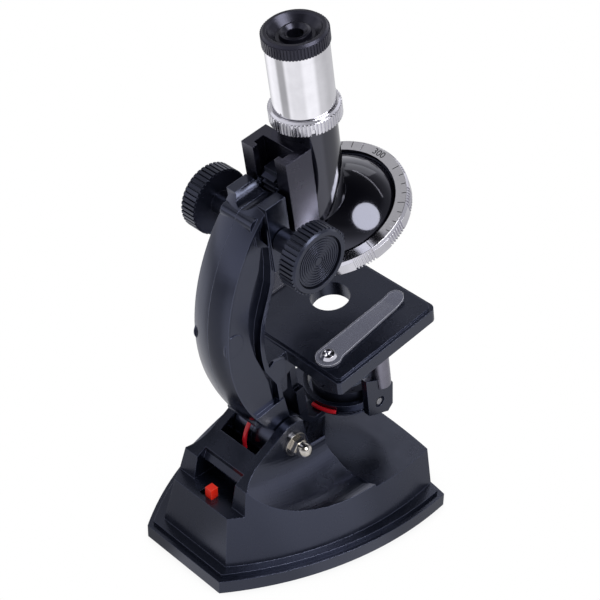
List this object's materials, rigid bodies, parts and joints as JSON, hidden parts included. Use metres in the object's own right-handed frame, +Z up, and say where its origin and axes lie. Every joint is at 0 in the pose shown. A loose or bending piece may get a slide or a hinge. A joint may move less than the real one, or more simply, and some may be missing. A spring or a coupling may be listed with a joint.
{
  "type": "toy microscope",
  "caption": "Children's compound microscope with a tilting curved arm, rack focusing, a lens turret, slide clips and a flip-over lamp and mirror on a battery base.",
  "frame": {"origin": "centre of the base's underside, on the desk", "axes": "+X towards the front of the base, where the stage is; +Y to the user's left; +Z up"},
  "size_m": [0.1094, 0.0992, 0.2227],
  "materials": {
    "black_plastic": "fine moulded texture, satin",
    "black_gloss": "polished moulding",
    "dark_knob": "moulded, knurled",
    "chrome_plate": "bright plated plastic",
    "steel": "zinc plated",
    "bolt_plate": "nickel plated",
    "red_plastic": "moulded red",
    "red_wire": "soft insulation",
    "clear_strip": "clear",
    "lens_glass": "polished",
    "mirror_glass": "silvered",
    "objective_body": "turned",
    "gear_plastic": "natural",
    "cell_case": "printed sleeve",
    "led_body": "frosted",
    "switch_case": "moulded"
  },
  "bodies": {
    "base": {"base_shell": "black_plastic", "base_tray": "black_plastic", "battery_door": "black_plastic", "battery_cells": "cell_case", "battery_cradle": "switch_case", "battery_contacts": "steel", "base_screws": "steel", "switch_body": "switch_case", "tilt_bolt": "bolt_plate", "tilt_washers": "bolt_plate", "tilt_nuts": "bolt_plate"},
    "switch": {"switch_slider": "red_plastic"},
    "arm": {"arm_right_shell": "black_plastic", "arm_left_shell": "black_plastic", "arm_screws": "steel", "switch_wire": "red_wire", "stage": "black_plastic", "stage_screws": "steel", "clip_screws": "steel", "lamp_yoke": "black_plastic", "lamp_post": "chrome_plate", "lamp_wire": "red_wire"},
    "right_clip": {"clip_right": "clear_strip"},
    "left_clip": {"clip_left": "clear_strip"},
    "lamp": {"lamp_drum": "dark_knob", "lamp_lens": "lens_glass", "lamp_led": "led_body", "flip_mirror": "mirror_glass", "flip_pins": "steel"},
    "focus": {"pinion_shaft": "steel", "pinion_gear": "gear_plastic", "focus_knob_right": "dark_knob", "focus_knob_left": "dark_knob"},
    "tube": {"carriage": "black_gloss", "rack": "dark_knob", "body_tube": "black_gloss", "tube_collar": "chrome_plate", "turret_screw": "steel"},
    "turret": {"turret_ring": "chrome_plate", "turret_plate": "dark_knob", "objective_low": "objective_body", "objective_mid": "objective_body", "objective_high": "objective_body", "objective_lenses": "lens_glass"},
    "eyepiece": {"eyepiece_barrel": "chrome_plate", "eyecup": "dark_knob", "eye_lens": "lens_glass", "field_lens": "lens_glass"}
  },
  "joints": [
    {"name": "arm_tilt", "type": "hinge", "parent": "base", "child": "arm", "pos_m": [-0.0054, 0, 0.0454], "axis": [0, -1, 0], "range_deg": [-7, 20]},
    {"name": "switch_slide", "type": "slide", "parent": "base", "child": "switch", "axis": [0, 1, 0], "range_m": [0, 0.003]},
    {"name": "tube_focus", "type": "slide", "parent": "arm", "child": "tube", "axis": [-0.1676, 0, 0.9859], "range_m": [-0.01, 0.01]},
    {"name": "knob_turn", "type": "hinge", "parent": "arm", "child": "focus", "pos_m": [-0.00966, 0, 0.14453], "axis": [0, -1, 0], "range_deg": [-84.5, 84.5]},
    {"name": "turret_spin", "type": "hinge", "parent": "tube", "child": "turret", "pos_m": [0.02675, 0, 0.13743], "axis": [-0.4155, 0, 0.9096], "continuous": true},
    {"name": "eyepiece_draw", "type": "slide", "parent": "tube", "child": "eyepiece", "axis": [-0.1676, 0, 0.9859], "range_m": [0, 0.012]},
    {"name": "clip_right_swing", "type": "hinge", "parent": "arm", "child": "right_clip", "pos_m": [0.00295, -0.024, 0.09007], "axis": [-0.1676, 0, 0.9859], "range_deg": [-75, 20]},
    {"name": "clip_left_swing", "type": "hinge", "parent": "arm", "child": "left_clip", "pos_m": [0.00295, 0.024, 0.09007], "axis": [-0.1676, 0, 0.9859], "range_deg": [-20, 75]},
    {"name": "lamp_flip", "type": "hinge", "parent": "arm", "child": "lamp", "pos_m": [0.03805, 0, 0.04532], "axis": [0, 1, 0], "range_deg": [-30, 210]}
  ],
  "couplings": [
    {"joint": "knob_turn", "follows": "tube_focus", "rad_per_m": 147.06}
  ]
}
